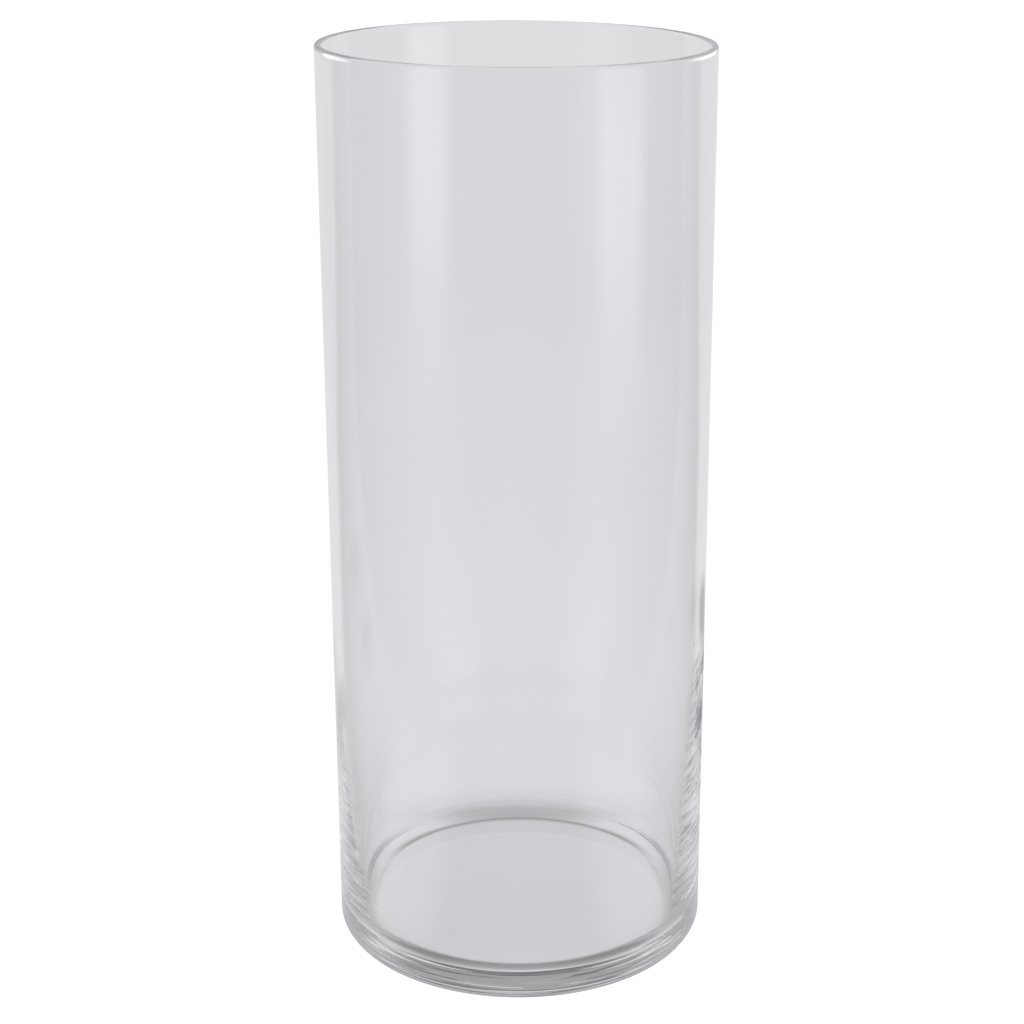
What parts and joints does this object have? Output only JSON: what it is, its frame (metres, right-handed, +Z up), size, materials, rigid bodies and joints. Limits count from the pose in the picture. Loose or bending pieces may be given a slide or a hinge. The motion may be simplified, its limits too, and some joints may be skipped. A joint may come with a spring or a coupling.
{
  "type": "cylinder vase",
  "caption": "Tall straight-sided clear glass cylinder vase with a rounded lip, an open mouth and a heavy flat base that stands on a ring.",
  "frame": {"origin": "centre of the standing ring under the base, on the surface that the vase stands on", "axes": "+Z up along the vase's axis, through the mouth; X and Y are equivalent"},
  "size_m": [0.124, 0.124, 0.3],
  "materials": {
    "clear_glass": "clear glass with a very faint cool grey tint, smooth and fire-polished, with fine horizontal ripples low in the wall"
  },
  "bodies": {
    "root": {"rim": "clear_glass", "upper_wall": "clear_glass", "lower_wall": "clear_glass", "base": "clear_glass"}
  },
  "joints": []
}
